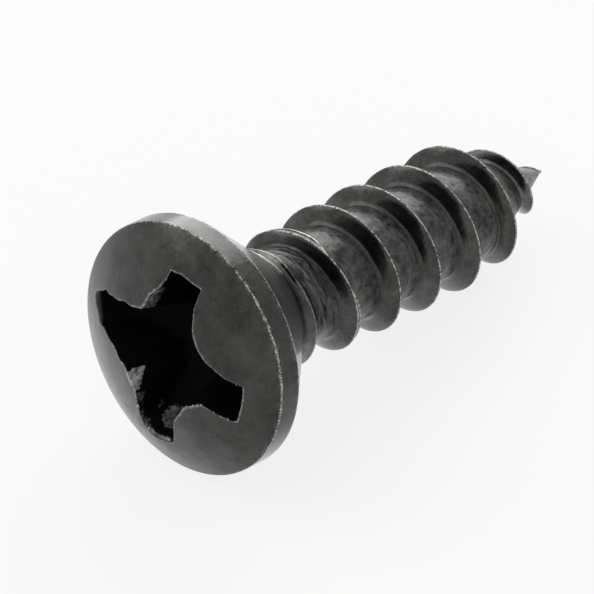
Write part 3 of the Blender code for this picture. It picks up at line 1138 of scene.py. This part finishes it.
def black_oxide():
    """Oiled black oxide: a dark metal with mottling, fine grain and bright steel where it is worn."""
    material = bpy.data.materials.new("black_oxide")
    nodes = Nodes(material)
    maps = finish_maps(nodes)
    skin, bare = oxide_skin(nodes, maps)
    torn_wall, torn_colour = torn_metal(nodes, maps)
    worn = worn_share(nodes, maps)
    colour = nodes.mix(worn, nodes.mix(torn_wall, skin, torn_colour), STEEL_COLOUR)
    # the recess outside its torn patches carries painted shade: nearly black, with little reflection
    painted_shade_wall = nodes.times(maps["recess"], nodes.without(torn_wall))
    roughness = nodes.plus(
        nodes.ramp(maps["mottled"], *ROUGHNESS_RANGE),
        nodes.times(maps["groove"], GROOVE_ROUGHNESS),
        nodes.times(maps["on_thread"], THREAD_ROUGHNESS),
        nodes.times(nodes.most(maps["torn"], worn, torn_wall), BARE_ROUGHNESS),
        nodes.times(painted_shade_wall, RECESS_ROUGHNESS),
    )
    film = nodes.times(
        nodes.without(maps["recess"]),
        nodes.without(nodes.most(bare, worn)),
        nodes.ramp(maps["clouds"], *OIL_RANGE),
        OIL_FILM,
    )
    relief = finish_relief(nodes, maps, torn_wall)
    shader = nodes.tree.nodes["Principled BSDF"]
    shader_values = {
        "Base Color": colour,
        "Metallic": 1.0,
        "Roughness": roughness,
        "Specular Tint": nodes.mix(painted_shade_wall, FULL_TINT, RECESS_SHADE_TINT),
        "Normal": relief,
        "Coat Weight": film,
        "Coat Roughness": OIL_ROUGHNESS,
        "Coat Normal": relief,
    }
    for name, value in shader_values.items():
        nodes.put(value, shader.inputs[name])
    return material


def pale_floor():
    """White paper that shows nearly white and still takes the screw's soft shadow."""
    material = bpy.data.materials.new("pale_floor")
    nodes = Nodes(material)
    nodes.tree.nodes.remove(nodes.tree.nodes["Principled BSDF"])
    output = nodes.tree.nodes["Material Output"]
    diffuse = nodes.add("ShaderNodeBsdfDiffuse", {"Color": FLOOR_COLOUR}).outputs[0]
    path = nodes.add("ShaderNodeLightPath").outputs
    mirrored = path["Is Glossy Ray"]
    strength = nodes.ramp(mirrored, 0.0, 1.0, *FLOOR_GLOWS)
    glow = nodes.add("ShaderNodeEmission", {"Color": FLOOR_GLOW_COLOUR, "Strength": strength}).outputs[0]
    seen_share, mirrored_share = FLOOR_GLOW_SHARES
    share = nodes.plus(nodes.times(path["Is Camera Ray"], seen_share), nodes.times(mirrored, mirrored_share))
    mixed = nodes.add("ShaderNodeMixShader", {0: share, 1: diffuse, 2: glow}).outputs[0]
    nodes.put(mixed, output.inputs["Surface"])
    return material


def build_floor():
    data = bpy.data.meshes.new("floor")
    half = FLOOR_HALF_WIDTH
    corners = [(-half, -half, 0), (half, -half, 0), (half, half, 0), (-half, half, 0)]
    data.from_pydata(corners, [], [(0, 1, 2, 3)])
    data.materials.append(pale_floor())
    add_object("floor", data)


def build_world():
    world = bpy.data.worlds.new("studio")
    bpy.context.scene.world = world
    nodes = Nodes(world)
    background = nodes.tree.nodes["Background"]
    path = nodes.add("ShaderNodeLightPath").outputs
    seen = nodes.most(path["Is Camera Ray"], path["Is Glossy Ray"])
    nodes.put(nodes.ramp(seen, 0.0, 1.0, *WORLD_STRENGTHS), background.inputs["Strength"])
    nodes.put(WORLD_COLOUR, background.inputs["Color"])


def direction(azimuth, elevation):
    """The direction of two angles."""
    flat = math.cos(elevation)
    return Vector((math.cos(azimuth) * flat, math.sin(azimuth) * flat, math.sin(elevation)))


def add_softbox(name, azimuth, elevation, radiance):
    """A square soft lamp aimed at the screw."""
    lamp = bpy.data.lights.new(name, "AREA")
    lamp.shape = "SQUARE"
    lamp.size = SOFTBOX_SIZE
    lamp.energy = radiance * math.pi * SOFTBOX_SIZE**2
    obj = add_object(name, lamp)
    outward = direction(math.radians(azimuth), math.radians(elevation))
    obj.location = outward * SOFTBOX_DISTANCE
    obj.rotation_euler = outward.to_track_quat("Z", "Y").to_euler()


def build_camera():
    data = bpy.data.cameras.new("camera")
    data.lens = CAMERA_LENS
    data.sensor_width = CAMERA_SENSOR
    data.clip_start = CAMERA_CLIP_START
    camera = add_object("camera", data)
    forward = direction(CAMERA_AZIMUTH + RIGHT_ANGLE, -CAMERA_ELEVATION)
    camera.location = Vector(CAMERA_AIM) * MM - forward * CAMERA_DISTANCE * MM
    camera.rotation_euler = forward.to_track_quat("-Z", "Y").to_euler()
    bpy.context.scene.camera = camera


bpy.context.scene.view_settings.view_transform = "Standard"
build_camera()
build_floor()
build_world()
for name, settings in SOFTBOXES.items():
    add_softbox(name, *settings)
screw = build_screw()
screw.data.materials.append(black_oxide())
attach(screw, "root")
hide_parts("screw")
